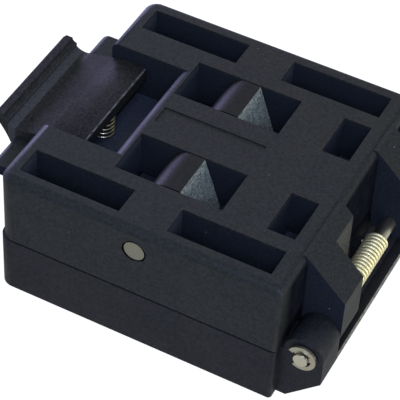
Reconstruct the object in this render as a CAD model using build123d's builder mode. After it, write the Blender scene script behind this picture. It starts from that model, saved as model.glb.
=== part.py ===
"""Clamshell test socket for a leaded quad flat package: hinged lid, rocking pusher and sprung latch.

Millimetres. The origin is the centre of the base underside, below the package. +X points to
the hinge, -X to the latch, and +Z up. The lid is modelled closed and latched.
"""

import math
import os

from build123d import *

# Overall body
half_length = 21.0  # centre to the hinge-side face of the lid
half_width = 21.0  # centre to the front and back faces
base_height = 9.05
base_inset = 0.1  # base set in from the lid along X
parting_gap = 0.3
lid_height = 11.55
lid_latch_inset = 0.5  # lid's latch-side face set in
corner_radius = 2.0  # upright corners on the latch side
edge_radius = 1.2  # rounded top edges of the lid
hinge_corner_radius = 0.5  # upright corners on the hinge side

# Hinge
shaft_radius = 1.0
shaft_overhang = 1.0  # shaft beyond each lug
hinge_drop = 0.1  # shaft axis below the top of the base
lug_radius = 2.85
lug_gap = 0.3  # between the lugs and the lid's face
lug_width = 5.1
lug_setback = 1.7  # lugs set in from the front and back faces
arm_radius = 2.8  # rounding of the lid's arms round the shaft
arm_width = 5.7
arm_gap = 0.3  # between each arm and its lug
slope_drop = 5.8  # height lost by the sloping shoulder
running_gap = 0.05  # radial clearance on shafts that turn
press_gap = 0.02  # radial clearance on pins that stay put
ledge_height = 4.9
ledge_foot = 1.4  # flat underside beyond the base's end face
ledge_chamfer = 4.7
ledge_floor = 2.8
ledge_rim = 0.35  # wall of the ledge, along its chamfer
rim_width = 0.6

# Retaining rings on the shaft
ring_radius = 2.0
ring_bore = 1.35
ring_thickness = 0.4
ring_lobe = 0.8  # width of each lobe that grips the groove
ring_gap = 0.03  # between the lobes and the groove's floor
ring_opening = 196.0  # degrees from +X, where the mouth points
ring_mouth = 76.0  # degrees across the mouth
groove_depth = 0.25
groove_gap = 0.1  # beside the ring, and between the lug and the groove

# Hinge spring
spring_wire = 0.45
spring_clearance = 0.175  # between the coil and the shaft
spring_pitch = 0.64
coil_steps = 10  # straight steps in each turn of a modelled coil
spring_leg = 2.3
spring_start_gap = 0.6  # from the front arm to the coil
spring_end_gap = 3.9  # from the coil to the back arm, at least
leg_rest_depth = 1.6  # lid's rest for the spring's front leg
leg_rest_width = 5.4
leg_rest_gap = 0.03
shelf_reach = 1.6  # base's shelf under the spring's back leg
shelf_width = 2.4

# Windows, slots and pockets in the lid
window_length = 15.9
window_width = 7.4
window_bar = 9.16  # bar between the two windows
slot_width = 4.4
slot_depth = 6.7
slot_inner_end = 3.5
slot_length = 14.9
slot_wall = 2.2  # outer wall beside each slot
pocket_length = 4.0
panel_length = 15.4  # bare panel for a name
panel_width = 3.1
panel_depth = 0.2

# Pusher and its cross pin
cross_pin_radius = 1.5
cross_pin_drop = 3.7  # axis below the top of the lid
pin_recess = 0.05  # pin's ends below the side faces
cavity_half_x = 10.3
cavity_half_y = 13.5
cavity_depth = 2.75
inner_cavity_gap = 0.35  # inner cavity beyond the windows' ends
inner_cavity_margin = 1.0  # and beyond their sides
roof_thickness = 7.2
pusher_gap = 0.5  # between the pusher and the lid, sideways
pusher_headroom = 0.4
pusher_drop = 0.45  # pusher's underside below the lid's
gable_half_width = 4.4  # at the gable's foot
gable_ridge = 1.7  # crisp ridge of the gable, from its middle towards the hinge
gable_round = 0.3  # centre of its rounded side, towards the latch
gable_radius = 3.0
gable_end_gap = 0.2

# Lead presser under the pusher
presser_thickness = 1.0
presser_margin = 0.2  # presser plate inside the pusher's edge
bar_gap = 0.35  # presser bars outside the package body
bar_width = 1.25
bar_half_length = 5.9

# Package place
package_half = 7.0
lead_count = 16  # leads along each side
lead_pitch = 0.8
lead_room = 0.35  # between a contact's tip and its presser bar
seat_height = 4.4
seat_step = 0.1
tip_height = 0.1  # contact tips above the package seat
nest_thickness = 1.0
nest_reach = 1.8  # nest's opening beyond the inner ends of the contact slots
nest_gap = 0.1  # between the nest and the ledge that holds it down
guide_height = 1.3
guide_overlap = 0.4  # corner guides reach in past the package's sides
guide_gap = 0.12
guide_lead_in = 0.3

# Contact block and tail plate, held in the base from below
block_margin = 2.9  # block beyond the contact slots
block_gap = 0.2
well_gap_x = 1.1  # base's well beyond the pusher
well_gap_y = 0.6
tail_plate_recess = 0.3
tail_plate_thickness = 1.4
slot_start = 0.4  # contact slots from the package's side
slot_reach = 4.7  # length of each contact slot
contact_slot_width = 0.5
contact_thickness = 0.3
contact_strip = 0.4
contact_arm_drop = 0.7  # heel of the spring arm below the block's top
contact_foot_inset = 1.2  # foot from the slot's inner end
contact_end_gap = 0.2  # heel from the slot's outer end
tail_setback = 2.2  # inner row of tails from the slots' inner ends
tail_row_pitch = 1.8
tail_length = 3.2
tail_width = 0.4
tail_slot_gap = 0.1
screw_corner = 3.4  # corner cut away for a screw head

# Screws and locating posts
screw_radius = 0.8
screw_head_radius = 1.4
screw_head_height = 0.6
screw_gap = 0.05
screw_inset = 1.7  # block screws from the block's edges
screw_cover = 0.35  # base left above the block screws
presser_screw_inset = 2.2  # presser screws from the pusher's ends
presser_screw_length = 2.9
post_radius = 1.0  # posts that find the holes of the test board
post_inset = 2.2  # posts from the block's edges along X
post_inset_y = 5.5
post_drop = 3.4
post_chamfer = 0.3

# Latch, its pin and its spring
latch_half_width = 9.3
latch_side_gap = 0.26
latch_bar = 1.58  # wall between the latch opening and the windows
latch_wall_radius = 1.4  # rounded top edge of that wall
latch_pin_radius = 0.75
latch_pin_inset = 1.9  # latch pin from the lid's latch-side face
latch_pin_lift = 2.15  # latch pin above the lid's underside
latch_pin_bed = 3.2  # blind end of the pin's bore past the latch
latch_lug_radius = 1.8
latch_lug_gap = 0.4
latch_lug_width = 5.0
latch_seat_lift = 3.85  # spring's seat above the lid's underside
latch_plate_lift = 7.6  # latch plate's underside above the lid's
latch_spring_inset = 4.0
latch_spring_radius = 1.575
latch_spring_wire = 0.35
latch_spring_turns = 2.75
latch_stud_radius = 1.1
latch_stud_height = 0.8
catch_low = 6.2
catch_high = 8.5
catch_reach = 1.1
hook_overlap = 0.55
hook_gap = 0.28
hook_slope = 0.5  # rise of the hook's face for each unit outwards
ear_drop = 4.8  # ear tops below the lid's top
ear_thickness = 1.75
ear_reach = 4.65
ear_width = 5.74
ear_corner = 1.2  # rounding of the ears' outer corners
plate_drop = 2.1  # crown of the latch plate below the lid's top
plate_reach = 1.77  # plate's inner edge beyond the spring's axis
plate_edge_drop = 0.2  # and below the crown
plate_corner = 0.4  # rounding of the plate's inner corners
crown_setback = 0.7  # crown outwards from the spring's axis
shoulder_setback = 3.85  # where the crown runs out into the dish
shoulder_drop = 0.47
dish_setback = 7.3  # dish behind the finger lip
dish_length = 2.3
dish_drop = 1.3
dish_depth = 0.15
lip_height = 0.35  # finger lip above the crown
lip_length = 2.1
lip_nose = 0.9  # height of the lip's front
lip_rounding = 0.35
leg_reach = 5.2  # latch leg's outer face from the lid's latch-side face
cove_drop = 4.5  # foot of the cove under the lip, below the crown
cove_bulge = 1.0
catch_room = 1.0  # between the catch's nose and the leg
hook_drop = 2.2  # hook's foot below the catch
hook_tip_height = 0.7  # upright front of the hook
foot_chamfer = 0.6
inner_corner_rise = 2.4  # hollow corner between the leg and the plate
inner_corner_bulge = 1.4
lug_root = 0.3  # latch lugs run into the plate
coil_end_length = 0.1  # straight ends of the latch spring

# Places worked out from the sizes above
base_half_x = half_length - base_inset
lid_bottom = base_height + parting_gap
lid_top = lid_bottom + lid_height
lid_latch_x = -(half_length - lid_latch_inset)
hinge_x = half_length + lug_gap + lug_radius
hinge_z = base_height - hinge_drop
lug_outer_y = half_width - lug_setback
lug_inner_y = lug_outer_y - lug_width
lug_face_x = hinge_x + lug_radius
arm_outer_y = lug_inner_y - arm_gap
arm_inner_y = arm_outer_y - arm_width
arm_face_x = hinge_x + arm_radius
shoulder_z = lid_top - slope_drop
slope = slope_drop / (arm_face_x - half_length)
window_y = (window_bar + window_width) / 2
window_outer_y = window_bar / 2 + window_width
slot_y = half_width - slot_wall - slot_width / 2
slot_outer_end = slot_inner_end + slot_length
cross_pin_z = lid_top - cross_pin_drop
roof_z = lid_top - roof_thickness
cavity_top = lid_bottom + cavity_depth
inner_cavity_half_x = window_length / 2 + inner_cavity_gap
inner_cavity_half_y = window_outer_y + inner_cavity_margin
latch_half_opening = latch_half_width + latch_side_gap
latch_wall_x = -(window_length / 2 + latch_bar)
latch_pin_x = lid_latch_x + latch_pin_inset
latch_pin_z = lid_bottom + latch_pin_lift
latch_seat_z = lid_bottom + latch_seat_lift
latch_under_z = lid_bottom + latch_plate_lift
latch_spring_x = lid_latch_x + latch_spring_inset
latch_slot_x = latch_pin_x + latch_lug_radius + latch_lug_gap
ear_top = lid_top - ear_drop
pusher_bottom = lid_bottom - pusher_drop
pusher_flange_top = cavity_top - pusher_gap
pusher_top = roof_z - pusher_headroom
pusher_half_x = cavity_half_x - pusher_gap
pusher_half_y = cavity_half_y - pusher_gap
well_half_x = pusher_half_x + well_gap_x
well_half_y = pusher_half_y + well_gap_y
presser_screw_place = pusher_half_y - presser_screw_inset
slot_inner_radius = package_half + slot_start
slot_outer_radius = slot_inner_radius + slot_reach
tail_inner_row = slot_inner_radius + tail_setback
tail_outer_row = tail_inner_row + tail_row_pitch
nest_opening_half = slot_inner_radius + nest_reach
guide_start = package_half - guide_overlap
block_half = slot_outer_radius + block_margin
presser_bottom = pusher_bottom - presser_thickness
bar_inner = package_half + bar_gap
tip_z = seat_height + tip_height
block_bottom = tail_plate_recess + tail_plate_thickness
block_top = seat_height - seat_step
nest_top = block_top + nest_thickness
pocket_top = nest_top + nest_gap
groove_width = ring_thickness + 2 * groove_gap
groove_start = lug_outer_y + groove_gap
groove_radius = shaft_radius - groove_depth
coil_radius = shaft_radius + spring_clearance + spring_wire / 2
coil_outer_radius = coil_radius + spring_wire / 2
coil_start_y = -arm_inner_y + spring_start_gap
leg_rest_x = half_length + leg_rest_depth
leg_rest_z = hinge_z + coil_outer_radius + leg_rest_gap
shelf_z = hinge_z - coil_outer_radius - leg_rest_gap
spring_room = 2 * arm_inner_y - spring_start_gap - spring_end_gap
spring_turns = math.floor(spring_room / spring_pitch) + 0.5
coil_end_y = coil_start_y + spring_pitch * spring_turns
block_screw_place = block_half - screw_inset
block_screw_length = base_height - screw_cover - block_bottom
post_x = block_half - post_inset
post_y = block_half - post_inset_y


def side_plane(y):
    """Plane at y, drawn with +X to the right and +Z up. Extrusions from it run towards -Y."""
    return Plane.XZ.offset(-y)


def side_planes(inner, outer):
    """Planes from which one extrusion width makes the back and the front copy of a profile."""
    return side_plane(outer), side_plane(-inner)


def pin_along_y(radius, start_y, end_y, x, z):
    """A plain round pin along Y."""
    with BuildPart() as pin:
        with BuildSketch(side_plane(end_y)):
            with Locations((x, z)):
                Circle(radius)
        extrude(amount=end_y - start_y)
    return pin.part


def screw_group(places, seat_z, length):
    """Hexagon-head screws, the heads below their seat and the shanks above it."""
    with BuildPart() as screws:
        with BuildSketch(Plane.XY.offset(seat_z)):
            with Locations(*places):
                RegularPolygon(screw_head_radius, 6)
        extrude(amount=-screw_head_height)
        with BuildSketch(Plane.XY.offset(seat_z)):
            with Locations(*places):
                Circle(screw_radius)
        extrude(amount=length)
    return screws.part


def coil_points(radius, pitch, turns, start_leg, end_leg):
    """Points of a coil bent in short straight steps: (right, up) across its axis, then along it.

    It starts at the top moving right. A leg runs off straight at each end.
    """
    step = 2 * math.pi / coil_steps
    corners = round(turns * coil_steps)
    side = radius / math.cos(step / 2)
    points = []
    for number in range(corners):
        angle = (number + 0.5) * step
        points.append(
            (side * math.sin(angle), side * math.cos(angle), pitch * (number + 0.5) / coil_steps)
        )
    first = Vector(*points[0])
    last = Vector(*points[-1])
    inwards = (first - Vector(*points[1])).rotate(Axis.Z, math.degrees(step)).normalized()
    outwards = (last - Vector(*points[-2])).rotate(Axis.Z, -math.degrees(step)).normalized()
    return [tuple(first + inwards * start_leg), *points, tuple(last + outwards * end_leg)]


def save(part, name):
    """Label a finished piece and write it as its own file."""
    part.label = name
    export_step(part, f"parts/{name}.step")


os.makedirs("parts", exist_ok=True)

block_screw_places = [(side * block_screw_place, side * block_screw_place) for side in (-1, 1)]
presser_screw_places = [(0, side * presser_screw_place) for side in (-1, 1)]

# Base housing: a moulded ring with the hinge lugs, the rear ledge and the latch's catch
with BuildPart() as base_housing:
    with BuildSketch():
        Rectangle(2 * base_half_x, 2 * half_width)
    extrude(amount=base_height)
    upright = base_housing.edges().filter_by(Axis.Z)
    fillet(upright.group_by(Axis.X)[0], corner_radius)
    fillet(upright.group_by(Axis.X)[-1], hinge_corner_radius)
    with BuildSketch(*side_planes(lug_inner_y, lug_outer_y)):
        with BuildLine():
            Polyline(
                (hinge_x - lug_radius, hinge_z),
                (base_half_x - rim_width, hinge_z),
                (base_half_x - rim_width, 0),
                (base_half_x + ledge_foot, 0),
                (base_half_x + ledge_foot + ledge_chamfer, ledge_chamfer),
                (lug_face_x, ledge_height),
                (lug_face_x, hinge_z),
            )
            ThreePointArc(
                (lug_face_x, hinge_z),
                (hinge_x, hinge_z + lug_radius),
                (hinge_x - lug_radius, hinge_z),
            )
        make_face()
    extrude(amount=lug_width)
    with BuildSketch(side_plane(lug_inner_y)):
        with BuildLine():
            Polyline(
                (base_half_x - rim_width, 0),
                (base_half_x + ledge_foot, 0),
                (base_half_x + ledge_foot + ledge_chamfer, ledge_chamfer),
                (lug_face_x, ledge_height),
                (base_half_x - rim_width, ledge_height),
                close=True,
            )
        make_face()
    extrude(amount=2 * lug_inner_y)
    slope_offset = base_half_x + ledge_foot - ledge_rim * math.sqrt(2)
    with BuildSketch(side_plane(lug_inner_y)):
        with BuildLine():
            Polyline(
                (base_half_x + rim_width, ledge_height),
                (base_half_x + rim_width, ledge_floor),
                (slope_offset + ledge_floor, ledge_floor),
                (slope_offset + ledge_height, ledge_height),
                close=True,
            )
        make_face()
    extrude(amount=2 * lug_inner_y, mode=Mode.SUBTRACT)
    with BuildSketch(side_plane(coil_end_y + shelf_width / 2)):
        with Locations((base_half_x + shelf_reach / 2, (ledge_floor + shelf_z) / 2)):
            Rectangle(shelf_reach, shelf_z - ledge_floor)
    extrude(amount=shelf_width)
    with BuildSketch(side_plane(latch_half_width)):
        with BuildLine():
            Polyline(
                (-base_half_x + rim_width, catch_low),
                (-base_half_x, catch_low),
                (-base_half_x - catch_reach, catch_low + hook_slope * catch_reach),
                (-base_half_x - catch_reach, catch_high - catch_reach),
                (-base_half_x, catch_high),
                (-base_half_x + rim_width, catch_high),
                close=True,
            )
        make_face()
    extrude(amount=2 * latch_half_width)
    with BuildSketch():
        Rectangle(2 * (block_half + block_gap), 2 * (block_half + block_gap))
    extrude(amount=pocket_top, mode=Mode.SUBTRACT)
    with BuildSketch():
        Rectangle(2 * well_half_x, 2 * well_half_y)
    extrude(amount=base_height, mode=Mode.SUBTRACT)
    with BuildSketch(side_plane(lug_outer_y)):
        with Locations((hinge_x, hinge_z)):
            Circle(shaft_radius + press_gap)
    extrude(amount=2 * lug_outer_y, mode=Mode.SUBTRACT)
    with BuildSketch():
        with Locations(*block_screw_places):
            Circle(screw_radius + screw_gap)
    extrude(amount=block_bottom + block_screw_length + screw_gap, mode=Mode.SUBTRACT)
save(base_housing.part, "base_housing")

# Contact rows: sheet contacts with a spring arm under each lead and tails in two staggered rows
slot_middle = (slot_inner_radius + slot_outer_radius) / 2
contact_foot = slot_inner_radius + contact_foot_inset
contact_heel = slot_outer_radius - contact_end_gap
contact_strip_top = block_bottom + contact_strip


def contact_profile(tail_row):
    """Outline of one contact, distance from the centre by height: foot, tail, spring arm and tip."""
    arm_top = block_top - contact_arm_drop
    return [
        (contact_foot, block_bottom),
        (tail_row - tail_width / 2, block_bottom),
        (tail_row, -tail_length),
        (tail_row + tail_width / 2, block_bottom),
        (contact_heel, block_bottom),
        (contact_heel, arm_top),
        (slot_inner_radius + 2 * contact_strip, tip_z),
        (slot_inner_radius + contact_strip, tip_z),
        (contact_heel - contact_strip, arm_top - contact_strip),
        (contact_heel - contact_strip, contact_strip_top),
        (contact_foot, contact_strip_top),
    ]


def contact_row(degrees):
    """The contacts along one side of the package, side by side and not touching."""
    outwards = Vector(math.cos(math.radians(degrees)), math.sin(math.radians(degrees)), 0)
    across = Vector(outwards.Y, -outwards.X, 0)
    with BuildPart() as row:
        for number in range(lead_count):
            place = (number - (lead_count - 1) / 2) * lead_pitch
            tail_row = tail_outer_row if number % 2 else tail_inner_row
            with BuildSketch(Plane(origin=across * place, x_dir=outwards, z_dir=across)):
                Polygon(*contact_profile(tail_row), align=None)
            extrude(amount=contact_thickness / 2, both=True)
    return row.part


for side, degrees in (("right", 0), ("back", 90), ("left", 180), ("front", 270)):
    save(contact_row(degrees), f"contacts_{side}")

# Contact block: insulator with a slot for each contact and the raised seat for the package
with BuildPart() as contact_block:
    with BuildSketch(Plane.XY.offset(block_bottom)):
        Rectangle(2 * block_half, 2 * block_half)
        with GridLocations(2 * slot_middle, lead_pitch, 2, lead_count):
            Rectangle(slot_outer_radius - slot_inner_radius, contact_slot_width, mode=Mode.SUBTRACT)
        with GridLocations(lead_pitch, 2 * slot_middle, lead_count, 2):
            Rectangle(contact_slot_width, slot_outer_radius - slot_inner_radius, mode=Mode.SUBTRACT)
        with Locations(*block_screw_places):
            Circle(screw_radius + screw_gap, mode=Mode.SUBTRACT)
    extrude(amount=block_top - block_bottom)
    with BuildSketch(Plane.XY.offset(block_top)):
        Rectangle(2 * package_half, 2 * package_half)
    extrude(amount=seat_step)
save(contact_block.part, "contact_block")

# Tail plate: holds the contacts up from below and carries the posts that find the board's holes
with BuildPart() as tail_plate:
    with BuildSketch(Plane.XY.offset(tail_plate_recess)):
        Rectangle(2 * block_half, 2 * block_half)
        for tail_row in (tail_inner_row, tail_outer_row):
            tail_slot = (tail_width + 2 * tail_slot_gap, lead_count * lead_pitch)
            with GridLocations(2 * tail_row, 0, 2, 1):
                Rectangle(tail_slot[0], tail_slot[1], mode=Mode.SUBTRACT)
            with GridLocations(0, 2 * tail_row, 1, 2):
                Rectangle(tail_slot[1], tail_slot[0], mode=Mode.SUBTRACT)
        with GridLocations(2 * block_screw_place, 2 * block_screw_place, 2, 2):
            Rectangle(screw_corner, screw_corner, mode=Mode.SUBTRACT)
    extrude(amount=tail_plate_thickness)
    with BuildSketch(Plane.XY.offset(-post_drop)):
        with GridLocations(2 * post_x, 2 * post_y, 2, 2):
            Circle(post_radius)
    extrude(amount=post_drop + tail_plate_recess)
    chamfer(tail_plate.edges().group_by(Axis.Z)[0], post_chamfer)
save(tail_plate.part, "tail_plate")

# Package nest: frame over the contacts with four corner posts that find the package's body
with BuildPart() as package_nest:
    with BuildSketch(Plane.XY.offset(block_top)):
        Rectangle(2 * block_half, 2 * block_half)
        Rectangle(2 * nest_opening_half, 2 * nest_opening_half, mode=Mode.SUBTRACT)
        with GridLocations(2 * block_screw_place, 2 * block_screw_place, 2, 2):
            Rectangle(screw_corner, screw_corner, mode=Mode.SUBTRACT)
    extrude(amount=nest_thickness)
    guide_width = nest_opening_half - guide_start
    guide_middle = (nest_opening_half + guide_start) / 2
    with BuildSketch(Plane.XY.offset(block_top)):
        with GridLocations(2 * guide_middle, 2 * guide_middle, 2, 2):
            Rectangle(guide_width, guide_width)
    extrude(amount=nest_thickness + guide_height)
    with BuildSketch(Plane.XY.offset(block_top)):
        Rectangle(2 * (package_half + guide_gap), 2 * (package_half + guide_gap))
    extrude(amount=nest_thickness + guide_height, mode=Mode.SUBTRACT)
    chamfer(package_nest.edges().group_by(Axis.Z)[-1], guide_lead_in)
save(package_nest.part, "package_nest")

save(screw_group(block_screw_places, block_bottom, block_screw_length), "block_screws")

# Lid: moulded cover with windows, blind slots, the latch opening and the hinge arms
with BuildPart() as lid:
    with BuildSketch(Plane.XY.offset(lid_bottom)):
        with Locations(((half_length + lid_latch_x) / 2, 0)):
            Rectangle(half_length - lid_latch_x, 2 * half_width)
    extrude(amount=lid_height)
    upright = lid.edges().filter_by(Axis.Z)
    fillet(upright.group_by(Axis.X)[0], corner_radius)
    fillet(upright.group_by(Axis.X)[-1], hinge_corner_radius)
    top_edges = lid.edges().group_by(Axis.Z)[-1]
    fillet(top_edges.filter_by_position(Axis.X, lid_latch_x, half_length - edge_radius), edge_radius)
    with BuildSketch(*side_planes(arm_inner_y, arm_outer_y)):
        with BuildLine():
            Polyline(
                (hinge_x - arm_radius, hinge_z),
                (hinge_x - arm_radius, lid_bottom),
                (half_length - rim_width, lid_bottom),
                (half_length - rim_width, lid_top),
                (half_length, lid_top),
                (arm_face_x, shoulder_z),
                (arm_face_x, hinge_z),
            )
            ThreePointArc(
                (arm_face_x, hinge_z),
                (hinge_x, hinge_z - arm_radius),
                (hinge_x - arm_radius, hinge_z),
            )
        make_face()
    extrude(amount=arm_width)
    with BuildSketch(side_plane(leg_rest_width - arm_inner_y)):
        with BuildLine():
            Polyline(
                (half_length - rim_width, leg_rest_z),
                (leg_rest_x, leg_rest_z),
                (leg_rest_x, lid_top - slope * leg_rest_depth),
                (half_length, lid_top),
                (half_length - rim_width, lid_top),
                close=True,
            )
        make_face()
    extrude(amount=leg_rest_width)
    with BuildSketch(Plane.XY.offset(lid_bottom)):
        Rectangle(2 * cavity_half_x, 2 * cavity_half_y)
    extrude(amount=cavity_depth, mode=Mode.SUBTRACT)
    with BuildSketch(Plane.XY.offset(lid_bottom)):
        Rectangle(2 * inner_cavity_half_x, 2 * inner_cavity_half_y)
    extrude(amount=roof_z - lid_bottom, mode=Mode.SUBTRACT)
    with BuildSketch(Plane.XY.offset(lid_top)):
        with GridLocations(0, 2 * window_y, 1, 2):
            Rectangle(window_length, window_width)
    extrude(amount=-lid_height, mode=Mode.SUBTRACT)
    with BuildSketch(Plane.XY.offset(lid_top)):
        with GridLocations(slot_inner_end + slot_outer_end, 2 * slot_y, 2, 2):
            Rectangle(slot_length, slot_width)
    extrude(amount=-slot_depth, mode=Mode.SUBTRACT)
    with BuildSketch(Plane.XY.offset(lid_top)):
        with Locations(*[(slot_outer_end - pocket_length / 2, y * window_y) for y in (-1, 1)]):
            Rectangle(pocket_length, window_width)
    extrude(amount=-roof_thickness, mode=Mode.SUBTRACT)
    with BuildSketch(Plane.XY.offset(lid_top)):
        Rectangle(panel_length, panel_width)
    extrude(amount=-panel_depth, mode=Mode.SUBTRACT)
    with BuildSketch(side_plane(latch_half_opening)):
        with BuildLine():
            Polyline(
                (latch_wall_x + latch_wall_radius, lid_top + parting_gap),
                (latch_wall_x + latch_wall_radius, lid_top),
            )
            RadiusArc(
                (latch_wall_x + latch_wall_radius, lid_top),
                (latch_wall_x, lid_top - latch_wall_radius),
                -latch_wall_radius,
            )
            Polyline(
                (latch_wall_x, lid_top - latch_wall_radius),
                (latch_wall_x, latch_seat_z),
                (lid_latch_x - ear_reach, latch_seat_z),
                (lid_latch_x - ear_reach, lid_top + parting_gap),
                (latch_wall_x + latch_wall_radius, lid_top + parting_gap),
            )
        make_face()
    extrude(amount=2 * latch_half_opening, mode=Mode.SUBTRACT)
    pedestal_half = latch_half_width - latch_lug_width - latch_lug_gap
    with BuildSketch(Plane.XY.offset(lid_bottom)):
        with Locations(((lid_latch_x - ear_reach + latch_slot_x) / 2, 0)):
            Rectangle(latch_slot_x - lid_latch_x + ear_reach, 2 * latch_half_opening)
        with Locations(((lid_latch_x + latch_slot_x) / 2, 0)):
            Rectangle(latch_slot_x - lid_latch_x, 2 * pedestal_half, mode=Mode.SUBTRACT)
    extrude(amount=lid_height, mode=Mode.SUBTRACT)
    with BuildSketch(Plane.XY.offset(latch_seat_z)):
        with Locations((latch_spring_x, 0)):
            Circle(latch_stud_radius)
    extrude(amount=latch_stud_height)
    with BuildSketch(*side_planes(latch_half_opening, latch_half_opening + ear_width)):
        with BuildLine():
            nose_x = lid_latch_x - ear_reach + ear_thickness / 2
            Polyline(
                (nose_x, ear_top),
                (lid_latch_x + latch_wall_radius, ear_top),
                (lid_latch_x + latch_wall_radius, ear_top - ear_thickness),
                (nose_x, ear_top - ear_thickness),
            )
            ThreePointArc(
                (nose_x, ear_top - ear_thickness),
                (lid_latch_x - ear_reach, ear_top - ear_thickness / 2),
                (nose_x, ear_top),
            )
        make_face()
    extrude(amount=ear_width)
    with BuildSketch(Plane.XY.offset(ear_top)):
        corner_x = lid_latch_x - ear_reach + ear_corner
        corner_y = latch_half_opening + ear_width - ear_corner
        with GridLocations(0, 2 * corner_y + ear_corner, 1, 2):
            with Locations((corner_x - ear_corner / 2, 0)):
                Rectangle(ear_corner, ear_corner)
        with GridLocations(0, 2 * corner_y, 1, 2):
            with Locations((corner_x, 0)):
                Circle(ear_corner, mode=Mode.SUBTRACT)
    extrude(amount=-ear_thickness, mode=Mode.SUBTRACT)
    with BuildSketch(side_plane(half_width)):
        with Locations((0, cross_pin_z)):
            Circle(cross_pin_radius + press_gap)
    extrude(amount=2 * half_width, mode=Mode.SUBTRACT)
    with BuildSketch(side_plane(half_width)):
        with Locations((hinge_x, hinge_z)):
            Circle(shaft_radius + running_gap)
    extrude(amount=2 * half_width, mode=Mode.SUBTRACT)
    with BuildSketch(side_plane(half_width)):
        with Locations((latch_pin_x, latch_pin_z)):
            Circle(latch_pin_radius + press_gap)
    extrude(amount=half_width + latch_half_opening + latch_pin_bed, mode=Mode.SUBTRACT)
save(lid.part, "lid")

# Pusher: rocks on the cross pin, with a gabled boss standing in each window
with BuildPart() as pusher:
    with BuildSketch(Plane.XY.offset(pusher_bottom)):
        Rectangle(2 * pusher_half_x, 2 * pusher_half_y)
    extrude(amount=pusher_flange_top - pusher_bottom)
    with BuildSketch(Plane.XY.offset(pusher_bottom)):
        Rectangle(2 * (inner_cavity_half_x - pusher_gap), 2 * (inner_cavity_half_y - pusher_gap))
    extrude(amount=pusher_top - pusher_bottom)
    gable_z = lid_top - gable_radius
    foot_distance = math.hypot(gable_half_width - gable_round, gable_z - pusher_top)
    foot_angle = math.atan2(gable_z - pusher_top, gable_half_width - gable_round)
    tangent_angle = math.pi / 2 - foot_angle - math.asin(gable_radius / foot_distance)
    middle_angle = (math.pi / 2 + tangent_angle) / 2
    round_points = [
        (-gable_round - gable_radius * math.cos(angle), gable_z + gable_radius * math.sin(angle))
        for angle in (tangent_angle, middle_angle, math.pi / 2)
    ]
    with BuildSketch(
        *side_planes(window_bar / 2 + gable_end_gap, window_outer_y - gable_end_gap)
    ):
        with BuildLine():
            Polyline(
                round_points[-1],
                (gable_ridge, lid_top),
                (gable_half_width, pusher_top),
                (gable_half_width, pusher_bottom),
                (-gable_half_width, pusher_bottom),
                (-gable_half_width, pusher_top),
                round_points[0],
            )
            ThreePointArc(*round_points)
        make_face()
    extrude(amount=window_width - 2 * gable_end_gap)
    with BuildSketch(side_plane(half_width)):
        with Locations((0, cross_pin_z)):
            Circle(cross_pin_radius + running_gap)
    extrude(amount=2 * half_width, mode=Mode.SUBTRACT)
    with BuildSketch(Plane.XY.offset(pusher_bottom)):
        with Locations(*presser_screw_places):
            Circle(screw_radius + screw_gap)
    extrude(amount=presser_screw_length + screw_gap - presser_thickness, mode=Mode.SUBTRACT)
save(pusher.part, "pusher")

# Lead presser: plate with four bars that hold the package's leads on the contacts
with BuildPart() as lead_presser:
    with BuildSketch(Plane.XY.offset(presser_bottom)):
        Rectangle(2 * (pusher_half_x - presser_margin), 2 * (pusher_half_y - 2 * presser_margin))
        Rectangle(2 * bar_inner, 2 * bar_inner, mode=Mode.SUBTRACT)
        with Locations(*presser_screw_places):
            Circle(screw_radius + screw_gap, mode=Mode.SUBTRACT)
    extrude(amount=presser_thickness)
    bar_middle = bar_inner + bar_width / 2
    with BuildSketch(Plane.XY.offset(presser_bottom)):
        with GridLocations(2 * bar_middle, 0, 2, 1):
            Rectangle(bar_width, 2 * bar_half_length)
        with GridLocations(0, 2 * bar_middle, 1, 2):
            Rectangle(2 * bar_half_length, bar_width)
    extrude(amount=tip_z + lead_room - presser_bottom)
save(lead_presser.part, "lead_presser")

save(screw_group(presser_screw_places, presser_bottom, presser_screw_length), "presser_screws")

cross_pin_end = half_width - pin_recess
save(
    pin_along_y(cross_pin_radius, -cross_pin_end, cross_pin_end, 0, cross_pin_z), "cross_pin"
)

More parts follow.
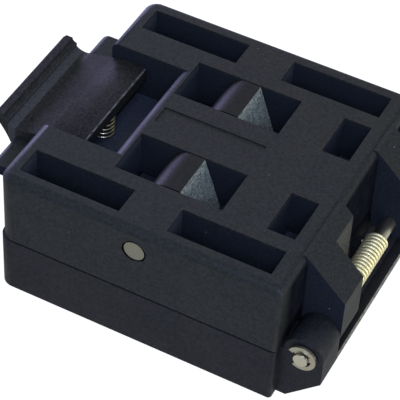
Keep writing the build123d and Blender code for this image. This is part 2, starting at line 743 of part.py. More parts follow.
# Latch: moulded lever with a finger lip, two pivot lugs and the hook under the base's catch
hook_tip_x = -base_half_x - catch_reach + hook_overlap
hook_root_x = -base_half_x - catch_reach - catch_room
hook_foot_z = catch_low - hook_drop
leg_outer_x = lid_latch_x - leg_reach
plate_top = lid_top - plate_drop
plate_edge_x = latch_spring_x + plate_reach
shoulder_x = latch_spring_x - shoulder_setback
shoulder_top = plate_top - shoulder_drop
dish_x = latch_spring_x - dish_setback
dish_z = plate_top - dish_drop
lip_back_x = dish_x - dish_length
lip_front_x = lip_back_x - lip_length
lip_top = plate_top + lip_height
inner_corner_z = latch_under_z - inner_corner_rise
with BuildPart() as latch:
    with BuildSketch(side_plane(latch_half_width)):
        with BuildLine():
            Polyline(
                (leg_outer_x, plate_top - cove_drop),
                (leg_outer_x, hook_foot_z + foot_chamfer),
                (leg_outer_x + foot_chamfer, hook_foot_z),
                (hook_root_x, hook_foot_z),
                (hook_tip_x, catch_low - hook_tip_height),
                (hook_tip_x, catch_low + hook_slope * (catch_reach - hook_overlap) - hook_gap),
                (hook_root_x, catch_low + hook_slope * (catch_reach + catch_room) - hook_gap),
                (hook_root_x, inner_corner_z),
            )
            ThreePointArc(
                (hook_root_x, inner_corner_z),
                (hook_root_x + inner_corner_bulge, latch_under_z - inner_corner_bulge / 2),
                (latch_spring_x - latch_spring_radius, latch_under_z),
            )
            Polyline(
                (latch_spring_x - latch_spring_radius, latch_under_z),
                (plate_edge_x, latch_under_z),
                (plate_edge_x, plate_top - plate_edge_drop),
            )
            ThreePointArc(
                (plate_edge_x, plate_top - plate_edge_drop),
                (latch_spring_x - crown_setback, plate_top),
                (shoulder_x, shoulder_top),
            )
            Line((shoulder_x, shoulder_top), (dish_x, dish_z))
            ThreePointArc(
                (dish_x, dish_z),
                (dish_x - dish_length / 2, dish_z - dish_depth),
                (lip_back_x, dish_z + lip_rounding),
            )
            Line((lip_back_x, dish_z + lip_rounding), (lip_back_x, lip_top - 2 * lip_rounding))
            RadiusArc(
                (lip_back_x, lip_top - 2 * lip_rounding),
                (lip_back_x - 2 * lip_rounding, lip_top),
                2 * lip_rounding,
            )
            Line((lip_back_x - 2 * lip_rounding, lip_top), (lip_front_x + lip_rounding, lip_top))
            RadiusArc(
                (lip_front_x + lip_rounding, lip_top),
                (lip_front_x, lip_top - lip_rounding),
                lip_rounding,
            )
            Line((lip_front_x, lip_top - lip_rounding), (lip_front_x, lip_top - lip_nose))
            ThreePointArc(
                (lip_front_x, lip_top - lip_nose),
                (leg_outer_x - cove_bulge, plate_top - cove_drop + 2 * cove_bulge),
                (leg_outer_x, plate_top - cove_drop),
            )
        make_face()
    extrude(amount=2 * latch_half_width)
    fillet(latch.edges().filter_by(Axis.Z).group_by(Axis.X)[-1], plate_corner)
    with BuildSketch(*side_planes(latch_half_width - latch_lug_width, latch_half_width)):
        with BuildLine():
            Polyline(
                (latch_pin_x + latch_lug_radius, latch_pin_z),
                (latch_pin_x + latch_lug_radius, latch_under_z + lug_root),
                (latch_pin_x - latch_lug_radius, latch_under_z + lug_root),
                (latch_pin_x - latch_lug_radius, latch_pin_z),
            )
            ThreePointArc(
                (latch_pin_x - latch_lug_radius, latch_pin_z),
                (latch_pin_x, latch_pin_z - latch_lug_radius),
                (latch_pin_x + latch_lug_radius, latch_pin_z),
            )
        make_face()
    extrude(amount=latch_lug_width)
    with BuildSketch(side_plane(latch_half_width)):
        with Locations((latch_pin_x, latch_pin_z)):
            Circle(latch_pin_radius + running_gap)
    extrude(amount=2 * latch_half_width, mode=Mode.SUBTRACT)
    with BuildSketch(Plane.XY.offset(latch_under_z)):
        with Locations((latch_spring_x, 0)):
            Circle(latch_stud_radius)
    extrude(amount=-latch_stud_height)
save(latch.part, "latch")

latch_pin_start = pin_recess - latch_half_opening - latch_pin_bed
save(
    pin_along_y(latch_pin_radius, latch_pin_start, cross_pin_end, latch_pin_x, latch_pin_z),
    "latch_pin",
)

# Latch spring: open compression coil between the lid and the latch plate
with BuildPart() as latch_spring:
    latch_spring_foot = latch_seat_z + latch_spring_wire / 2 + press_gap
    latch_spring_rise = latch_under_z - latch_seat_z - latch_spring_wire - 2 * press_gap
    latch_spring_pitch = latch_spring_rise / latch_spring_turns
    with BuildLine() as coil:
        Polyline(
            *[
                (latch_spring_x + point[0], point[1], latch_spring_foot + point[2])
                for point in coil_points(
                    latch_spring_radius,
                    latch_spring_pitch,
                    latch_spring_turns,
                    coil_end_length,
                    coil_end_length,
                )
            ]
        )
    with BuildSketch(Plane(origin=coil.line @ 0, z_dir=coil.line % 0)):
        RegularPolygon(latch_spring_wire / 2, 4)
    sweep(path=coil.line, transition=Transition.RIGHT)
save(latch_spring.part, "latch_spring")

# Hinge shaft: grooved near both ends for the retaining rings
with BuildPart() as hinge_shaft:
    shaft_end_y = lug_outer_y + shaft_overhang
    with BuildSketch(side_plane(shaft_end_y)):
        with Locations((hinge_x, hinge_z)):
            Circle(shaft_radius)
    extrude(amount=2 * shaft_end_y)
    with BuildSketch(*side_planes(groove_start, groove_start + groove_width)):
        with Locations((hinge_x, hinge_z)):
            Circle(shaft_radius)
            Circle(groove_radius, mode=Mode.SUBTRACT)
    extrude(amount=groove_width, mode=Mode.SUBTRACT)
save(hinge_shaft.part, "hinge_shaft")


def retaining_ring(inner_y):
    """Snap ring with an open mouth and three lobes that reach into the shaft's groove."""
    with BuildPart() as ring:
        with BuildSketch(side_plane(inner_y + ring_thickness)):
            with Locations((hinge_x, hinge_z)):
                Circle(ring_radius)
                Circle(ring_bore, mode=Mode.SUBTRACT)
            reach = ring_radius / math.cos(math.radians(ring_mouth / 2))
            with BuildLine():
                mouth = [
                    (
                        hinge_x + reach * math.cos(math.radians(ring_opening + turn)),
                        hinge_z + reach * math.sin(math.radians(ring_opening + turn)),
                    )
                    for turn in (-ring_mouth / 2, ring_mouth / 2)
                ]
                Polyline((hinge_x, hinge_z), *mouth, close=True)
            make_face(mode=Mode.SUBTRACT)
            lobe_start = groove_radius + ring_gap
            lobe_length = (ring_radius + ring_bore) / 2 - lobe_start
            for turn in (-110, 0, 110):
                angle = math.radians(ring_opening + 180 + turn)
                middle = lobe_start + lobe_length / 2
                with Locations(
                    (hinge_x + middle * math.cos(angle), hinge_z + middle * math.sin(angle))
                ):
                    Rectangle(lobe_length, ring_lobe, rotation=math.degrees(angle))
        extrude(amount=ring_thickness)
    return ring.part


save(retaining_ring(groove_start + groove_gap), "back_retaining_ring")
save(retaining_ring(-groove_start - groove_gap - ring_thickness), "front_retaining_ring")

# Hinge spring: close coil round the shaft with a leg under the lid's rest and one on the shelf
with BuildPart() as hinge_spring:
    with BuildLine() as coil:
        Polyline(
            *[
                (hinge_x + point[0], coil_start_y + point[2], hinge_z + point[1])
                for point in coil_points(
                    coil_radius, spring_pitch, spring_turns, spring_leg, spring_leg
                )
            ]
        )
    with BuildSketch(Plane(origin=coil.line @ 0, z_dir=coil.line % 0)):
        RegularPolygon(spring_wire / 2, 4)
    sweep(path=coil.line, transition=Transition.RIGHT)
save(hinge_spring.part, "hinge_spring")
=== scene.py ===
"""Clamshell test socket for a leaded quad flat package, closed and latched, on a white ground."""

import math

import bpy
from mathutils import Matrix, Vector


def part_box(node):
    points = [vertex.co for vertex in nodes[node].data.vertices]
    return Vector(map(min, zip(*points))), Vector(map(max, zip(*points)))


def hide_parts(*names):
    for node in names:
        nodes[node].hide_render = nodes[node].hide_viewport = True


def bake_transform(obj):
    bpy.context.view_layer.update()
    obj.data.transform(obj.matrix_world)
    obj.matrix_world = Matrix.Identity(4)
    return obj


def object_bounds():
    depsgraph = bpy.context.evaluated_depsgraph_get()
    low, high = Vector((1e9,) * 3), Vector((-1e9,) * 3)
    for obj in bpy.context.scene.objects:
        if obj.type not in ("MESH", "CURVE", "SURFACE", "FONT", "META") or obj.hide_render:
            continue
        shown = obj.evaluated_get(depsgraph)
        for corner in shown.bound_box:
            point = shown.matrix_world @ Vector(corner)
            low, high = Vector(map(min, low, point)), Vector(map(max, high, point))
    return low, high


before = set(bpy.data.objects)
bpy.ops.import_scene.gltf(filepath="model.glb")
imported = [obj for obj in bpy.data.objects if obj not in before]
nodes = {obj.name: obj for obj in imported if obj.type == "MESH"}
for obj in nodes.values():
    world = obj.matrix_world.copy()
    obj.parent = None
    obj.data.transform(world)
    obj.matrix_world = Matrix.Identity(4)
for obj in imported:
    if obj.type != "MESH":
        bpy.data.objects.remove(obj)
bpy.context.scene.view_settings.view_transform = "Standard"
cad_low, cad_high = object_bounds()
mm = 0.001
sharp = 0.02 * mm  # soft step at the border of a tint
noise_low, noise_high = 0.30, 0.70  # a noise lies mostly between these


# Base housing: the lower half of the moulding, dull black plastic with a fine grain. Its edges
# are slightly soft. The ledge under the spring carries painted light, paler and even, and its
# outer rounded edge a painted highlight as a light grey line.
def new_material(name):
    """An empty material with its tree, its shader and its place on the object."""
    material = bpy.data.materials.new(name)
    material.use_nodes = True
    tree = material.node_tree
    tree.nodes.clear()
    output = tree.nodes.new("ShaderNodeOutputMaterial")
    shader = tree.nodes.new("ShaderNodeBsdfPrincipled")
    place = tree.nodes.new("ShaderNodeTexCoord")
    tree.links.new(shader.outputs["BSDF"], output.inputs["Surface"])
    return material, tree, shader, place


def noise(tree, place, scale, detail):
    """A noise texture over the piece's own coordinates."""
    texture = tree.nodes.new("ShaderNodeTexNoise")
    texture.inputs["Scale"].default_value = scale
    texture.inputs["Detail"].default_value = detail
    tree.links.new(place.outputs["Object"], texture.inputs["Vector"])
    return texture.outputs["Fac"]


def spread(tree, value, low, high, to_low, to_high):
    """Maps one range of a value onto another."""
    node = tree.nodes.new("ShaderNodeMapRange")
    node.inputs["From Min"].default_value = low
    node.inputs["From Max"].default_value = high
    node.inputs["To Min"].default_value = to_low
    node.inputs["To Max"].default_value = to_high
    tree.links.new(value, node.inputs["Value"])
    return node.outputs["Result"]


def ramp(tree, value, low, low_color, high, high_color):
    """Colours a noise between two tints."""
    node = tree.nodes.new("ShaderNodeValToRGB")
    node.color_ramp.elements[0].position = low
    node.color_ramp.elements[0].color = (*low_color, 1)
    node.color_ramp.elements[1].position = high
    node.color_ramp.elements[1].color = (*high_color, 1)
    tree.links.new(value, node.inputs["Fac"])
    return node.outputs["Color"]


def mottled(tree, place, scale, darker, paler, low=noise_low, high=noise_high, detail=3.0):
    """An uneven tone between a darker and a paler colour."""
    return ramp(tree, noise(tree, place, scale, detail), low, darker, high, paler)


plastic_sheen = 0.16
fine_scale = 2600.0  # mottling of the plain mouldings
sheen_scale = 140.0  # slow change of the sheen over a face
sheen_change = 0.06
pebble_scale = 5200.0  # moulded grain
pebble_height = 0.04 * mm
speck_gain = 2.2  # specks against the darker grain
paler_end = 0.74


def moulded_plastic(name, colour, roughness, grain, speckle):
    """Black moulded plastic: a fine pebbled grain with a few pale specks."""
    material, tree, shader, place = new_material(name)
    shader.inputs["Specular IOR Level"].default_value = plastic_sheen
    dark = [c * (1 - speckle) for c in colour]
    pale = [c * (1 + speck_gain * speckle) for c in colour]
    tone = mottled(tree, place, fine_scale, dark, pale, high=paler_end)
    tree.links.new(tone, shader.inputs["Base Color"])
    change = noise(tree, place, sheen_scale, 3.0)
    duller, shinier = roughness + sheen_change, roughness - sheen_change
    gloss = spread(tree, change, noise_low, noise_high, shinier, duller)
    tree.links.new(gloss, shader.inputs["Roughness"])
    relief = tree.nodes.new("ShaderNodeBump")
    relief.inputs["Strength"].default_value = grain
    relief.inputs["Distance"].default_value = pebble_height
    tree.links.new(noise(tree, place, pebble_scale, 2.0), relief.inputs["Height"])
    tree.links.new(relief.outputs["Normal"], shader.inputs["Normal"])
    return material


def soften(node, width):
    """Rounds the sharp edges of a CAD piece a little, without moving its faces."""
    weld = node.modifiers.new("weld", "WELD")
    weld.merge_threshold = 0.001 * mm
    bevel = node.modifiers.new("soft_edges", "BEVEL")
    bevel.width = width
    bevel.segments = 2
    bevel.limit_method = "ANGLE"
    bevel.angle_limit = math.radians(40)
    bevel.use_clamp_overlap = True
    bevel.harden_normals = True


def dress(names, material):
    """Gives CAD pieces their finish."""
    for name in names:
        nodes[name].data.materials.clear()
        nodes[name].data.materials.append(material)


def combined(tree, operation, values):
    """Several values taken together by one kind of sum."""
    result = values[0]
    for value in values[1:]:
        node = tree.nodes.new("ShaderNodeMath")
        node.operation = operation
        tree.links.new(result, node.inputs[0])
        tree.links.new(value, node.inputs[1])
        result = node.outputs["Value"]
    return result


def all_of(tree, *masks):
    """One where every mask is one."""
    return combined(tree, "MULTIPLY", masks)


def any_of(tree, *masks):
    """One where any mask is one."""
    return combined(tree, "MAXIMUM", masks)


def rising(tree, value, low, high):
    """Nothing below a range and one above it."""
    return spread(tree, value, low, high, 0.0, 1.0)


def falling(tree, value, low, high):
    """One below a range and nothing above it."""
    return spread(tree, value, low, high, 1.0, 0.0)


def between(tree, value, low, high, blend):
    """One between two values and nothing outside them, with a soft step at each."""
    return all_of(
        tree,
        rising(tree, value, low - blend, low + blend),
        falling(tree, value, high - blend, high + blend),
    )


def axes(tree, vector):
    """The three parts of a vector, by letter."""
    split = tree.nodes.new("ShaderNodeSeparateXYZ")
    tree.links.new(vector, split.inputs["Vector"])
    return split.outputs


def mix_tint(tree, shader, mask, tint):
    """Lays a tint over a material's colour where the mask is one."""
    colour = shader.inputs["Base Color"]
    mix = tree.nodes.new("ShaderNodeMix")
    mix.data_type = "RGBA"
    under, over, result = mix.inputs[6], mix.inputs[7], mix.outputs[2]
    tree.links.new(mask, mix.inputs["Factor"])
    tree.links.new(colour.links[0].from_socket, under)
    tree.links.new(tint, over)
    tree.links.new(result, colour)


def parts_of(material):
    """A finished material's tree, shader and place, and where a point lies on the object."""
    tree = material.node_tree
    shader = next(n for n in tree.nodes if n.type == "BSDF_PRINCIPLED")
    place = next(n for n in tree.nodes if n.type == "TEX_COORD")
    return tree, shader, place, axes(tree, place.outputs["Object"])


base_plastic = moulded_plastic("base_plastic", (0.0105, 0.0112, 0.0122), 0.52, 0.5, 0.35)
tree, shader, place, at = parts_of(base_plastic)
base_low, base_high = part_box("base_housing")
body_end = base_high.y  # the body is square, so its hinge-side face is as far out as its side
lug_span = 6.8 * mm  # ledge's ends from the body's sides
ledge_top = 4.9 * mm
ledge_face = 2.3 * mm  # tinted height below the ledge's top
ledge_span = between(tree, at["Y"], base_low.y + lug_span, base_high.y - lug_span, sharp)
# Painted light: the ledge and its outer face are painted paler and even, as if lit.
ledge_painted_light = all_of(
    tree,
    ledge_span,
    between(tree, at["Z"], ledge_top - ledge_face, ledge_top + 0.1 * mm, 0.05 * mm),
    rising(tree, at["X"], body_end, body_end + 0.1 * mm),
)
ledge_light_tone = mottled(
    tree, place, fine_scale, (0.026, 0.025, 0.025), (0.062, 0.059, 0.056), high=paler_end
)
mix_tint(tree, shader, ledge_painted_light, ledge_light_tone)
line_width = 0.3 * mm
# Painted highlight: a light grey line along the ledge's rounded outer edge.
rim_highlight = all_of(
    tree,
    between(tree, at["X"], base_high.x - line_width, base_high.x + 0.2 * mm, sharp),
    ledge_span,
    rising(tree, at["Z"], ledge_top - line_width, ledge_top - 0.2 * mm),
)
rim_highlight_tone = mottled(
    tree, place, 1800.0, (0.16, 0.145, 0.095), (0.34, 0.31, 0.21), high=paler_end
)
mix_tint(tree, shader, rim_highlight, rim_highlight_tone)
dress(["base_housing"], base_plastic)
soften(nodes["base_housing"], 0.09 * mm)

# Inner mouldings: the contact block, its tail plate, the package nest and the lead presser.
# They are hidden by the closed lid, and taken to be smoother than the housing.
inner_plastic = moulded_plastic("inner_plastic", (0.011, 0.0115, 0.0125), 0.45, 0.2, 0.2)
dress(
    ["contact_block", "tail_plate", "package_nest", "lead_presser"],
    inner_plastic,
)


# Contacts: taken as plated copper alloy, warm and bright, with a faint rolled grain. Only
# their tails show below the base while the lid is closed.
def metal(name, colour, roughness, scratch, dulled):
    """Bare metal with a fine uneven sheen from drawing, rolling or grinding."""
    material, tree, shader, place = new_material(name)
    shader.inputs["Metallic"].default_value = 1.0
    wear = noise(tree, place, 3000.0, 4.0)
    duller, shinier = roughness + scratch, roughness - scratch
    gloss = spread(tree, wear, noise_low, noise_high, shinier, duller)
    tree.links.new(gloss, shader.inputs["Roughness"])
    tint = ramp(tree, wear, 0.25, [c * (1 - dulled) for c in colour], 0.75, colour)
    tree.links.new(tint, shader.inputs["Base Color"])
    return material


contact_alloy = metal("contact_alloy", (0.83, 0.62, 0.30), 0.30, 0.08, 0.18)
dress(
    ["contacts_front", "contacts_back", "contacts_left", "contacts_right"],
    contact_alloy,
)

# Screws: taken as plain steel, two under the contact block and two in the lead presser, with
# a duller sheen than the shaft's.
screw_steel = metal("screw_steel", (0.50, 0.50, 0.49), 0.35, 0.08, 0.18)
dress(["block_screws", "presser_screws"], screw_steel)

# Hinge shaft and its snap rings: a smooth bright shaft, and stamped rings that are duller and
# a little darker than it.
shaft_steel = metal("shaft_steel", (0.62, 0.60, 0.50), 0.32, 0.03, 0.08)
dress(["hinge_shaft"], shaft_steel)
ring_steel = metal("ring_steel", (0.50, 0.48, 0.39), 0.38, 0.10, 0.18)
dress(["front_retaining_ring", "back_retaining_ring"], ring_steel)


# Hinge spring: a close coil of round wire on the shaft, from behind the front arm to past the
# middle. One leg lies under the lid's rest and turns with it, the other on the base's shelf.
def wire_group():
    """Node group that gives a line of points the round body of a wire."""
    group = bpy.data.node_groups.new("wire_along_line", "GeometryNodeTree")
    group.interface.new_socket("Line", in_out="INPUT", socket_type="NodeSocketGeometry")
    radius = group.interface.new_socket(
        "Wire Radius", in_out="INPUT", socket_type="NodeSocketFloat"
    )
    radius.default_value = 0.2 * mm
    sides = group.interface.new_socket("Sides", in_out="INPUT", socket_type="NodeSocketInt")
    sides.default_value = 12
    group.interface.new_socket("Finish", in_out="INPUT", socket_type="NodeSocketMaterial")
    group.interface.new_socket("Wire", in_out="OUTPUT", socket_type="NodeSocketGeometry")
    entry = group.nodes.new("NodeGroupInput")
    leave = group.nodes.new("NodeGroupOutput")
    curve = group.nodes.new("GeometryNodeMeshToCurve")
    circle = group.nodes.new("GeometryNodeCurvePrimitiveCircle")
    body = group.nodes.new("GeometryNodeCurveToMesh")
    body.inputs["Fill Caps"].default_value = True
    smooth = group.nodes.new("GeometryNodeSetShadeSmooth")
    real = group.nodes.new("GeometryNodeRealizeInstances")
    finish = group.nodes.new("GeometryNodeSetMaterial")
    link = group.links.new
    link(entry.outputs["Line"], curve.inputs["Mesh"])
    link(entry.outputs["Sides"], circle.inputs["Resolution"])
    link(entry.outputs["Wire Radius"], circle.inputs["Radius"])
    link(curve.outputs["Curve"], body.inputs["Curve"])
    link(circle.outputs["Curve"], body.inputs["Profile Curve"])
    link(body.outputs["Mesh"], smooth.inputs["Geometry"])
    link(smooth.outputs["Geometry"], real.inputs["Geometry"])
    link(real.outputs["Geometry"], finish.inputs["Geometry"])
    link(entry.outputs["Finish"], finish.inputs["Material"])
    link(finish.outputs["Geometry"], leave.inputs["Wire"])
    return group


def wire(name, points, radius, material):
    """A round wire along the points, as a plain mesh."""
    line = bpy.data.meshes.new(name + "_line")
    line.from_pydata(points, [(i, i + 1) for i in range(len(points) - 1)], [])
    holder = bpy.data.objects.new(name + "_line", line)
    bpy.context.scene.collection.objects.link(holder)
    modifier = holder.modifiers.new("wire", "NODES")
    modifier.node_group = wires
    values = {"Wire Radius": radius, "Finish": material}
    for item in wires.interface.items_tree:
        if item.item_type == "SOCKET" and item.name in values:
            modifier[item.identifier] = values[item.name]
    bpy.context.view_layer.update()
    evaluated = holder.evaluated_get(bpy.context.evaluated_depsgraph_get())
    mesh = bpy.data.meshes.new_from_object(evaluated)
    mesh.name = name
    bpy.data.objects.remove(holder)
    piece = bpy.data.objects.new(name, mesh)
    bpy.context.scene.collection.objects.link(piece)
    return piece


steps = 28  # points in each turn of a coil


def coil(turns, start, advance, across, upwards):
    """Points of a coil that starts upwards of its axis and turns towards across."""
    points = []
    for number in range(int(turns * steps) + 1):
        angle = 2 * math.pi * number / steps
        turned = across * math.sin(angle) + upwards * math.cos(angle)
        points.append(start + advance * (number / steps) + turned)
    return points


wires = wire_group()
spring_steel = metal("spring_steel", (0.98, 0.92, 0.60), 0.56, 0.05, 0.15)
shaft_low, shaft_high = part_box("hinge_shaft")
coil_low, coil_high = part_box("hinge_spring")
hinge_x = (shaft_low.x + shaft_high.x) / 2
hinge_z = (shaft_low.z + shaft_high.z) / 2
shaft_radius = (shaft_high.z - shaft_low.z) / 2
wire_radius = 0.225 * mm
coil_clearance = 0.175 * mm
coil_radius = shaft_radius + coil_clearance + wire_radius
pitch = 0.64 * mm
turns = 18.5
coil_start = (coil_low.y + coil_high.y - pitch * turns) / 2
leg = 2.25 * mm
lean = pitch / (2 * math.pi * coil_radius)
path = coil(
    turns,
    Vector((hinge_x, coil_start, hinge_z)),
    Vector((0, pitch, 0)),
    Vector((coil_radius, 0, 0)),
    Vector((0, 0, coil_radius)),
)
upper_leg = path[0] - Vector((leg, leg * lean, 0))
lower_leg = path[-1] - Vector((leg, -leg * lean, 0))
hinge_coil = wire("hinge_coil", [upper_leg, *path, lower_leg], wire_radius, spring_steel)
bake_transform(hinge_coil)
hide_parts("hinge_spring")


# Lid: the upper moulding, with a finer grain than the base's. A thin ring of painted shade shows
# round each end of the cross pin. The end face between the arms has the darkest painted shade,
# the faces towards the front have painted shade, the hollows' walls and floors a painted bluish
# fill light, and rounded edges on the latch side a painted lavender highlight.
lid_plastic = moulded_plastic("lid_plastic", (0.0138, 0.0149, 0.0138), 0.50, 0.35, 0.3)
tree, shader, place, at = parts_of(lid_plastic)
facing = axes(tree, place.outputs["Normal"])
pin_low, pin_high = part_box("cross_pin")
pin_radius = (pin_high.x - pin_low.x) / 2
ring_width = 0.22 * mm
ring_wander = 0.12 * mm
from_axis = tree.nodes.new("ShaderNodeVectorMath")
from_axis.operation = "SUBTRACT"
from_axis.inputs[1].default_value = (
    (pin_low.x + pin_high.x) / 2,
    0,
    (pin_low.z + pin_high.z) / 2,
)
tree.links.new(place.outputs["Object"], from_axis.inputs[0])
across = tree.nodes.new("ShaderNodeVectorMath")
across.operation = "MULTIPLY"
across.inputs[1].default_value = (1, 0, 1)
tree.links.new(from_axis.outputs["Vector"], across.inputs[0])
distance = tree.nodes.new("ShaderNodeVectorMath")
distance.operation = "LENGTH"
tree.links.new(across.outputs["Vector"], distance.inputs[0])
rough_edge = noise(tree, place, 900.0, 2.0)
wander = spread(tree, rough_edge, noise_low, noise_high, -ring_wander, ring_wander)
uneven = combined(tree, "ADD", (distance.outputs["Value"], wander))
# Painted shade: a thin dark ring in the gap round each end of the cross pin.
pin_gap_shade = between(tree, uneven, 0, pin_radius + ring_width, 0.03 * mm)

lid_low, lid_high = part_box("lid")
lid_end = lid_high.y  # the lid's body is square too
end_depth = 0.5 * mm
arm_inset = 2.2 * mm  # where the end face gives way to the arms, from the lid's sides
arm_fade = 1.2 * mm
# Painted shade: the lid's end face between the arms, darkest of all.
shaded_end_face = all_of(
    tree,
    between(tree, at["X"], lid_end - end_depth, lid_end + 0.3 * mm, sharp),
    between(tree, at["Y"], lid_low.y + arm_inset, lid_high.y - arm_inset, arm_fade),
    falling(tree, at["Z"], lid_high.z - 1.8 * mm, lid_high.z - 0.5 * mm),
)
side_inset = 0.6 * mm  # hollows from the lid's sides, at least
end_inset = 0.65 * mm  # and from its ends
floor_depth = 2.2 * mm  # hollows' floors below the top, at least
faces = (0.5, 0.8)  # share of the normal along an axis, for a face that looks that way
leans = (0.15, 0.40)  # and for a rounded edge
inside = all_of(
    tree,
    between(tree, at["Y"], lid_low.y + side_inset, lid_high.y - side_inset, sharp),
    falling(tree, at["Z"], lid_high.z - 0.45 * mm, lid_high.z - 0.2 * mm),
)
hollows = all_of(
    tree, inside, between(tree, at["X"], end_inset - lid_end, lid_end - end_inset, 0.05 * mm)
)
# Painted shade on the faces that look towards the front.
shaded_back_walls = all_of(tree, inside, falling(tree, facing["Y"], -faces[1], -faces[0]))
# Painted bluish fill light on the hollows' latch-side walls and floors.
lit_latch_walls = all_of(tree, hollows, rising(tree, facing["X"], *faces))
lit_floors = all_of(
    tree,
    hollows,
    falling(tree, at["Z"], lid_high.z - floor_depth - 0.3 * mm, lid_high.z - floor_depth),
    rising(tree, facing["Z"], *faces),
)
# Painted lavender highlight on the rounded edges that lean towards the latch.
highlit_edges = all_of(
    tree,
    falling(tree, facing["X"], -leans[1], -leans[0]),
    rising(tree, facing["Z"], *leans),
)
# Where shade is painted, the sheen is taken away too.
shade_without_sheen = any_of(tree, pin_gap_shade, shaded_end_face, shaded_back_walls)
sheen_left = spread(tree, shade_without_sheen, 0.0, 1.0, plastic_sheen, 0.0)
tree.links.new(sheen_left, shader.inputs["Specular IOR Level"])

back_shade_tone = mottled(tree, place, fine_scale, (0.0115, 0.0132, 0.0165), (0.0165, 0.0190, 0.0235))
hollow_fill_tone = mottled(tree, place, fine_scale, (0.022, 0.025, 0.033), (0.034, 0.039, 0.052))
edge_highlight_tone = mottled(tree, place, 2000.0, (0.022, 0.022, 0.029), (0.036, 0.036, 0.048))
end_shade_tone = mottled(tree, place, 600.0, (0.005, 0.0052, 0.007), (0.009, 0.0095, 0.012))
pin_gap_shade_tone = mottled(tree, place, 1500.0, (0.001, 0.001, 0.0012), (0.004,) * 3, detail=2.0)
mix_tint(tree, shader, shaded_back_walls, back_shade_tone)
mix_tint(tree, shader, lit_latch_walls, hollow_fill_tone)
mix_tint(tree, shader, lit_floors, hollow_fill_tone)
mix_tint(tree, shader, highlit_edges, edge_highlight_tone)
mix_tint(tree, shader, shaded_end_face, end_shade_tone)
mix_tint(tree, shader, pin_gap_shade, pin_gap_shade_tone)
motes = tree.nodes.new("ShaderNodeTexVoronoi")
motes.inputs["Scale"].default_value = 340.0
tree.links.new(place.outputs["Object"], motes.inputs["Vector"])
specks = falling(tree, motes.outputs["Distance"], 0.018, 0.030)
speck_tone = mottled(tree, place, 1500.0, (0.10,) * 3, (0.30, 0.30, 0.29), detail=2.0)
mix_tint(tree, shader, specks, speck_tone)
dress(["lid"], lid_plastic)
soften(nodes["lid"], 0.09 * mm)

# Cross pin and latch pin: steel dowels. The end that shows is dull and slightly yellow.
# The cross pin carries the pusher, the latch pin the latch.
pin_steel = metal("pin_steel", (0.30, 0.30, 0.25), 0.45, 0.10, 0.18)
dress(["cross_pin", "latch_pin"], pin_steel)

# Latch spring: an open coil of bright thin wire that pushes the latch's inner edge up. It
# stands round a stud on the lid and one under the latch plate, and gives as the latch opens.
thin_wire = 0.145 * mm
open_turns = 4.75
drawn_steel = metal("drawn_steel", (0.86, 0.82, 0.58), 0.30, 0.05, 0.3)
spring_low, spring_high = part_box("latch_spring")
middle = (spring_low + spring_high) / 2
open_radius = (spring_high.y - spring_low.y) / 2 - thin_wire
rise = spring_high.z - spring_low.z - 2 * thin_wire
path = coil(
    open_turns,
    Vector((middle.x, middle.y, spring_low.z + thin_wire)),
    Vector((0, 0, rise / open_turns)),
    Vector((open_radius, 0, 0)),
    Vector((0, open_radius, 0)),
)
latch_coil = wire("latch_coil", path, thin_wire, drawn_steel)
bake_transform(latch_coil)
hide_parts("latch_spring")

# Pusher: its two gabled bosses stand in the lid's windows. The flanks towards the hinge have a
# coarse frosted grain and are much paler with painted light, and a band of painted bluish fill
# light lies round the top of the flange.
pusher_plastic = moulded_plastic("pusher_plastic", (0.0070, 0.0075, 0.0072), 0.50, 0.35, 0.3)
tree, shader, place, at = parts_of(pusher_plastic)
pusher_low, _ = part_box("pusher")
ridge = 1.72 * mm  # upper end of the frosted flank along X
foot = 4.5 * mm  # and its lower end
flange_top = pusher_low.z + 4.5 * mm
# Painted bluish fill light in a band round the top of the flange.
fill_light_band = between(tree, at["Z"], flange_top - 0.6 * mm, flange_top + 1.3 * mm, 0.6 * mm)
fill_light_tone = mottled(
    tree, place, 2000.0, (0.017, 0.019, 0.029), (0.027, 0.029, 0.044), high=paler_end
)
mix_tint(tree, shader, fill_light_band, fill_light_tone)
# The hinge-side flanks: a coarse frosted grain, made much paler with painted light.
lit_flank = all_of(
    tree,
    between(tree, at["X"], ridge, foot, sharp),
    rising(tree, at["Z"], flange_top - 0.1 * mm, flange_top),
)
frost_and_painted_light = mottled(
    tree, place, 3200.0, (0.07, 0.08, 0.065), (0.27, 0.29, 0.24), low=0.36, high=0.64, detail=4.0
)
mix_tint(tree, shader, lit_flank, frost_and_painted_light)
dress(["pusher"], pusher_plastic)

# Latch: a lever with a finger lip. Its plate has a coarser grain than the rest of the socket.
# The flat strip behind the lip is paler, and the plate's inner edge carries a painted highlight.
latch_plastic = moulded_plastic("latch_plastic", (0.0155, 0.0147, 0.0132), 0.58, 0.8, 0.45)
tree, shader, place, at = parts_of(latch_plastic)
shader.inputs["Specular IOR Level"].default_value = 0.09
latch_low, latch_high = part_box("latch")
strip_start = latch_low.x + 2.05 * mm
strip_width = 1.15 * mm
strip = between(tree, at["X"], strip_start, strip_start + strip_width, 0.04 * mm)
strip_tone = mottled(tree, place, 4200.0, (0.026, 0.026, 0.025), (0.058, 0.057, 0.053))
mix_tint(tree, shader, strip, strip_tone)
# Painted highlight: a thin light line along the plate's inner edge.
inner_edge_highlight = between(
    tree, at["X"], latch_high.x - 0.30 * mm, latch_high.x - 0.08 * mm, 0.03 * mm
)
inner_highlight_tone = mottled(
    tree, place, 1600.0, (0.02, 0.02, 0.018), (0.13, 0.128, 0.11), high=0.65
)
mix_tint(tree, shader, inner_edge_highlight, inner_highlight_tone)
dress(["latch"], latch_plastic)
soften(nodes["latch"], 0.08 * mm)


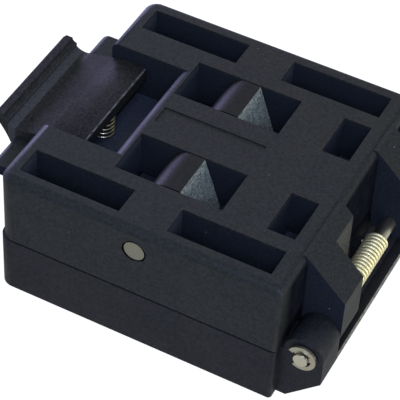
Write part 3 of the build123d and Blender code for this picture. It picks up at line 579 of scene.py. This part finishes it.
# Ground: a plain pale floor under the posts, even white to the camera. The sheen of the
# steep faces sees it a little dimmer.
def emitter(tree, kind, colour, strength):
    """An emission or background of one colour."""
    node = tree.nodes.new(kind)
    node.inputs["Color"].default_value = (*colour, 1)
    node.inputs["Strength"].default_value = strength
    return node.outputs[0]


def shown_by_ray(tree, output, plain, in_sheen, to_camera):
    """Gives the sheen and the camera their own version of a shader."""
    ray = tree.nodes.new("ShaderNodeLightPath")
    shown = plain
    for kind, version in (("Is Glossy Ray", in_sheen), ("Is Camera Ray", to_camera)):
        mix = tree.nodes.new("ShaderNodeMixShader")
        tree.links.new(ray.outputs[kind], mix.inputs["Fac"])
        tree.links.new(shown, mix.inputs[1])
        tree.links.new(version, mix.inputs[2])
        shown = mix.outputs["Shader"]
    tree.links.new(shown, output.inputs["Surface"])


floor_mesh = bpy.data.meshes.new("floor")
reach = 1.2
level = cad_low.z - 0.1 * mm
corners = [(-reach, -reach), (reach, -reach), (reach, reach), (-reach, reach)]
floor_mesh.from_pydata([(x, y, level) for x, y in corners], [], [(0, 1, 2, 3)])
floor = bpy.data.objects.new("floor", floor_mesh)
bpy.context.scene.collection.objects.link(floor)
paper = bpy.data.materials.new("paper")
paper.use_nodes = True
tree = paper.node_tree
tree.nodes.clear()
output = tree.nodes.new("ShaderNodeOutputMaterial")
diffuse = tree.nodes.new("ShaderNodeBsdfDiffuse")
diffuse.inputs["Color"].default_value = (0.6, 0.6, 0.62, 1)
glow = emitter(tree, "ShaderNodeEmission", (1.0, 1.0, 1.0), 1.22)
lit_paper = tree.nodes.new("ShaderNodeMixShader")
lit_paper.inputs["Fac"].default_value = 0.2
tree.links.new(glow, lit_paper.inputs[1])
tree.links.new(diffuse.outputs["BSDF"], lit_paper.inputs[2])
shown_by_ray(
    tree,
    output,
    diffuse.outputs["BSDF"],
    emitter(tree, "ShaderNodeEmission", (1.0, 1.0, 0.98), 0.66),
    lit_paper.outputs["Shader"],
)
floor_mesh.materials.append(paper)

# Light: a pale surrounding seen in the sheen, a dim bluish fill in the hollows, a soft blue
# light beside the camera, and soft boxes above, at the hinge and behind the latch.
world = bpy.data.worlds.new("room")
bpy.context.scene.world = world
world.use_nodes = True
tree = world.node_tree
tree.nodes.clear()
shown_by_ray(
    tree,
    tree.nodes.new("ShaderNodeOutputWorld"),
    emitter(tree, "ShaderNodeBackground", (0.56, 0.66, 0.95), 0.85),
    emitter(tree, "ShaderNodeBackground", (1.0, 1.0, 0.92), 0.36),
    emitter(tree, "ShaderNodeBackground", (1.0, 1.0, 1.0), 1.0),
)


def soft_box(name, place, width, power, colour):
    """A square area light that faces the socket."""
    light = bpy.data.lights.new(name, "AREA")
    light.size = width
    light.energy = power
    light.color = colour
    lamp = bpy.data.objects.new(name, light)
    bpy.context.scene.collection.objects.link(lamp)
    lamp.location = place
    lamp.rotation_mode = "QUATERNION"
    lamp.rotation_quaternion = (-Vector(place)).to_track_quat("-Z", "Y")


soft_box("top_light", (-0.05, 0.30, 0.36), 0.30, 0.24, (1.0, 0.97, 0.72))
soft_box("camera_light", (0.12, -0.26, 0.31), 0.20, 1.40, (0.52, 0.61, 0.93))
soft_box("hinge_light", (0.45, -0.04, 0.03), 0.20, 1.20, (1.0, 1.0, 0.92))
soft_box("latch_light", (-0.42, 0.34, 0.04), 0.34, 3.60, (0.58, 0.54, 1.0))

# Camera: at the photograph's place, with its focal length and slight roll, all from the fit
# to the photograph. The shifts put the picture's middle where the photograph's is.
camera = bpy.data.cameras.new("camera")
camera.lens = 173.257
camera.sensor_width = 36
camera.shift_x = 0.0038
camera.shift_y = 0.0002
camera.clip_start = 0.01
camera.clip_end = 10
eye = bpy.data.objects.new("camera", camera)
bpy.context.scene.collection.objects.link(eye)
bpy.context.scene.camera = eye
eye_place = (0.07864, -0.17014, 0.19871)
right = Vector((0.88438384, 0.46463253, 0.04451783))
up = Vector((-0.359617, 0.617467, 0.699578))
forward = Vector((-0.29755893, 0.6347058, -0.71316705))
turn = Matrix((right, up, -forward)).transposed().to_4x4()
eye.matrix_world = Matrix.Translation(eye_place) @ turn
